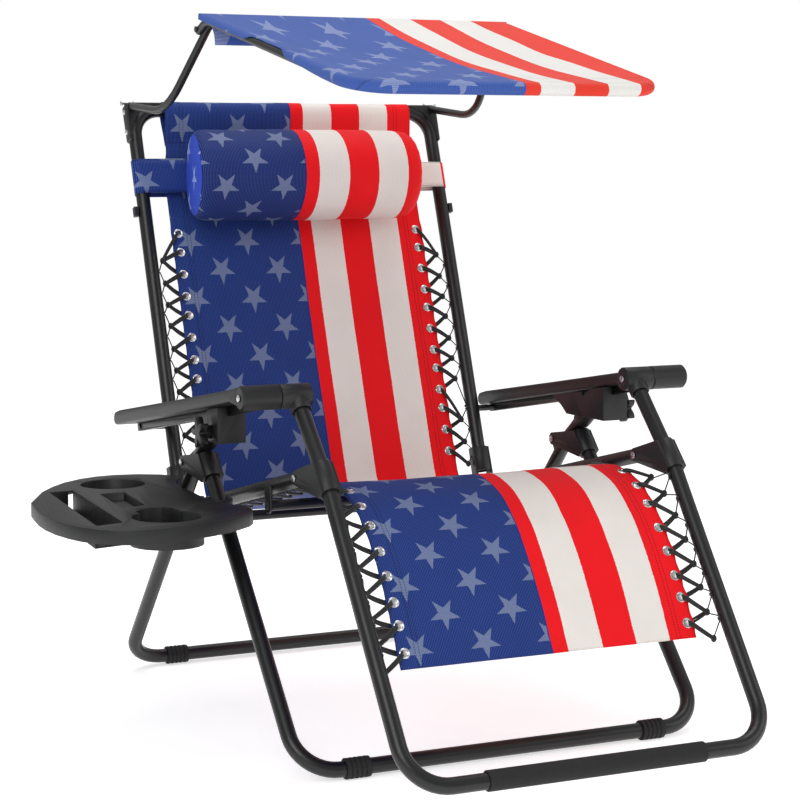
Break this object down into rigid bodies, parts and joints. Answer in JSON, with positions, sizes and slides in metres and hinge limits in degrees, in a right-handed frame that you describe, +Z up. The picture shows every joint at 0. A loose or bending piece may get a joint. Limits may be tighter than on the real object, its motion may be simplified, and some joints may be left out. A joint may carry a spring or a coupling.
{
  "type": "reclining sun lounger",
  "caption": "Folding zero-gravity recliner with laced sling seat, tilting canopy, head pillow, armrests with lock knobs and a clip-on cup tray.",
  "frame": {"origin": "on the floor, under the middle of the object's bounding box", "axes": "+Z up, +Y towards the back of the chair, +X towards the sitter's left; the tray is on the -X side"},
  "size_m": [1.059, 1.2326, 1.1808],
  "materials": {
    "black_steel": "black semi-gloss powder coat",
    "black_plastic": "fine-grained black moulded plastic",
    "rubber": "matte black rubber",
    "rivet_steel": "bright zinc plate",
    "flag_textilene": "open-weave textilene with stars on blue and red and white stripes",
    "elastic_cord": "black braided elastic"
  },
  "bodies": {
    "rear_legs": {"rear_leg_frame": "black_steel", "rear_foot_right": "rubber", "rear_foot_left": "rubber", "lock_block_right": "black_plastic", "lock_block_left": "black_plastic"},
    "knob_right": {"lock_knob_right": "black_plastic"},
    "knob_left": {"lock_knob_left": "black_plastic"},
    "front_legs": {"front_leg_frame": "black_steel", "front_foot_right": "rubber", "front_foot_left": "rubber", "leg_collar_right": "black_plastic", "leg_collar_left": "black_plastic", "leg_cross_rivet_right": "rivet_steel", "leg_cross_rivet_left": "rivet_steel", "tray_clamp": "black_plastic"},
    "tray": {"side_tray": "black_plastic"},
    "seat": {"seat_rail_right": "black_steel", "seat_rail_left": "black_steel", "seat_pivot_bolt_right": "rivet_steel", "seat_pivot_bolt_left": "rivet_steel", "seat_crossbar": "black_steel", "sling_seat": "flag_textilene", "lacing_seat_right": "elastic_cord", "lacing_seat_left": "elastic_cord"},
    "backrest": {"backrest_frame": "black_steel", "backrest_rivet_right": "rivet_steel", "backrest_rivet_left": "rivet_steel", "backrest_fork_right": "black_plastic", "backrest_fork_left": "black_plastic", "corner_bracket_right": "black_plastic", "corner_bracket_left": "black_plastic", "strap_stop_right": "black_plastic", "strap_stop_left": "black_plastic", "canopy_pin_right": "rivet_steel", "canopy_pin_left": "rivet_steel", "sling_back": "flag_textilene", "lacing_back_right": "elastic_cord", "lacing_back_left": "elastic_cord"},
    "footrest": {"footrest_frame": "black_steel", "footrest_rivet_right": "rivet_steel", "footrest_rivet_left": "rivet_steel", "footrest_sleeve": "rubber", "footrest_collar_right": "black_plastic", "footrest_collar_left": "black_plastic", "knuckle_right": "black_plastic", "knuckle_left": "black_plastic", "sling_leg": "flag_textilene", "lacing_leg_right": "elastic_cord", "lacing_leg_left": "elastic_cord"},
    "armrests": {"knuckle_pin_right": "rivet_steel", "knuckle_pin_left": "rivet_steel", "armrest_pad_right": "black_plastic", "armrest_pad_left": "black_plastic", "armrest_rail_right": "black_steel", "armrest_rail_left": "black_steel"},
    "canopy": {"canopy_frame": "black_steel", "canopy_cover": "flag_textilene"},
    "pillow": {"head_pillow": "flag_textilene", "pillow_strap": "flag_textilene"}
  },
  "joints": [
    {"name": "leg_fold", "type": "hinge", "parent": "rear_legs", "child": "front_legs", "pos_m": [0.1285, 0.14827, 0.431], "axis": [1, 0, 0], "range_deg": [0, 76]},
    {"name": "tray_swing", "type": "hinge", "parent": "front_legs", "child": "tray", "pos_m": [-0.2255, 0.01677, 0.387], "axis": [0, 0.6768, 0.7361], "range_deg": [-1, 40]},
    {"name": "seat_tilt", "type": "hinge", "parent": "rear_legs", "child": "seat", "pos_m": [0.1285, 0.19767, 0.3502], "axis": [-1, 0, 0], "range_deg": [-1, 16.5]},
    {"name": "recline", "type": "hinge", "parent": "seat", "child": "backrest", "pos_m": [0.1285, 0.34447, 0.3139], "axis": [-1, 0, 0], "range_deg": [0, 35]},
    {"name": "foot_raise", "type": "hinge", "parent": "seat", "child": "footrest", "pos_m": [0.1285, -0.22223, 0.451], "axis": [-1, 0, 0], "range_deg": [-1, 56]},
    {"name": "arm_level", "type": "hinge", "parent": "footrest", "child": "armrests", "pos_m": [0.1285, -0.19053, 0.574], "axis": [-1, 0, 0], "range_deg": [-57, 1]},
    {"name": "canopy_tilt", "type": "hinge", "parent": "backrest", "child": "canopy", "pos_m": [0.1285, 0.60277, 1.036], "axis": [1, 0, 0], "range_deg": [-60, 12]},
    {"name": "pillow_slide", "type": "slide", "parent": "backrest", "child": "pillow", "axis": [0, 0.337, 0.9415], "range_m": [-0.015, 0.012]},
    {"name": "knob_turn_right", "type": "hinge", "parent": "rear_legs", "child": "knob_right", "pos_m": [-0.26115, -0.01123, 0.501], "axis": [-1, 0, 0], "continuous": true},
    {"name": "knob_turn_left", "type": "hinge", "parent": "rear_legs", "child": "knob_left", "pos_m": [0.51815, -0.01123, 0.501], "axis": [1, 0, 0], "continuous": true}
  ],
  "couplings": [
    {"joint": "tray_swing", "follows": "leg_fold", "ratio": 0.5},
    {"joint": "seat_tilt", "follows": "recline", "ratio": 0.454},
    {"joint": "foot_raise", "follows": "recline", "ratio": 1.546},
    {"joint": "arm_level", "follows": "recline", "ratio": -1.58}
  ]
}
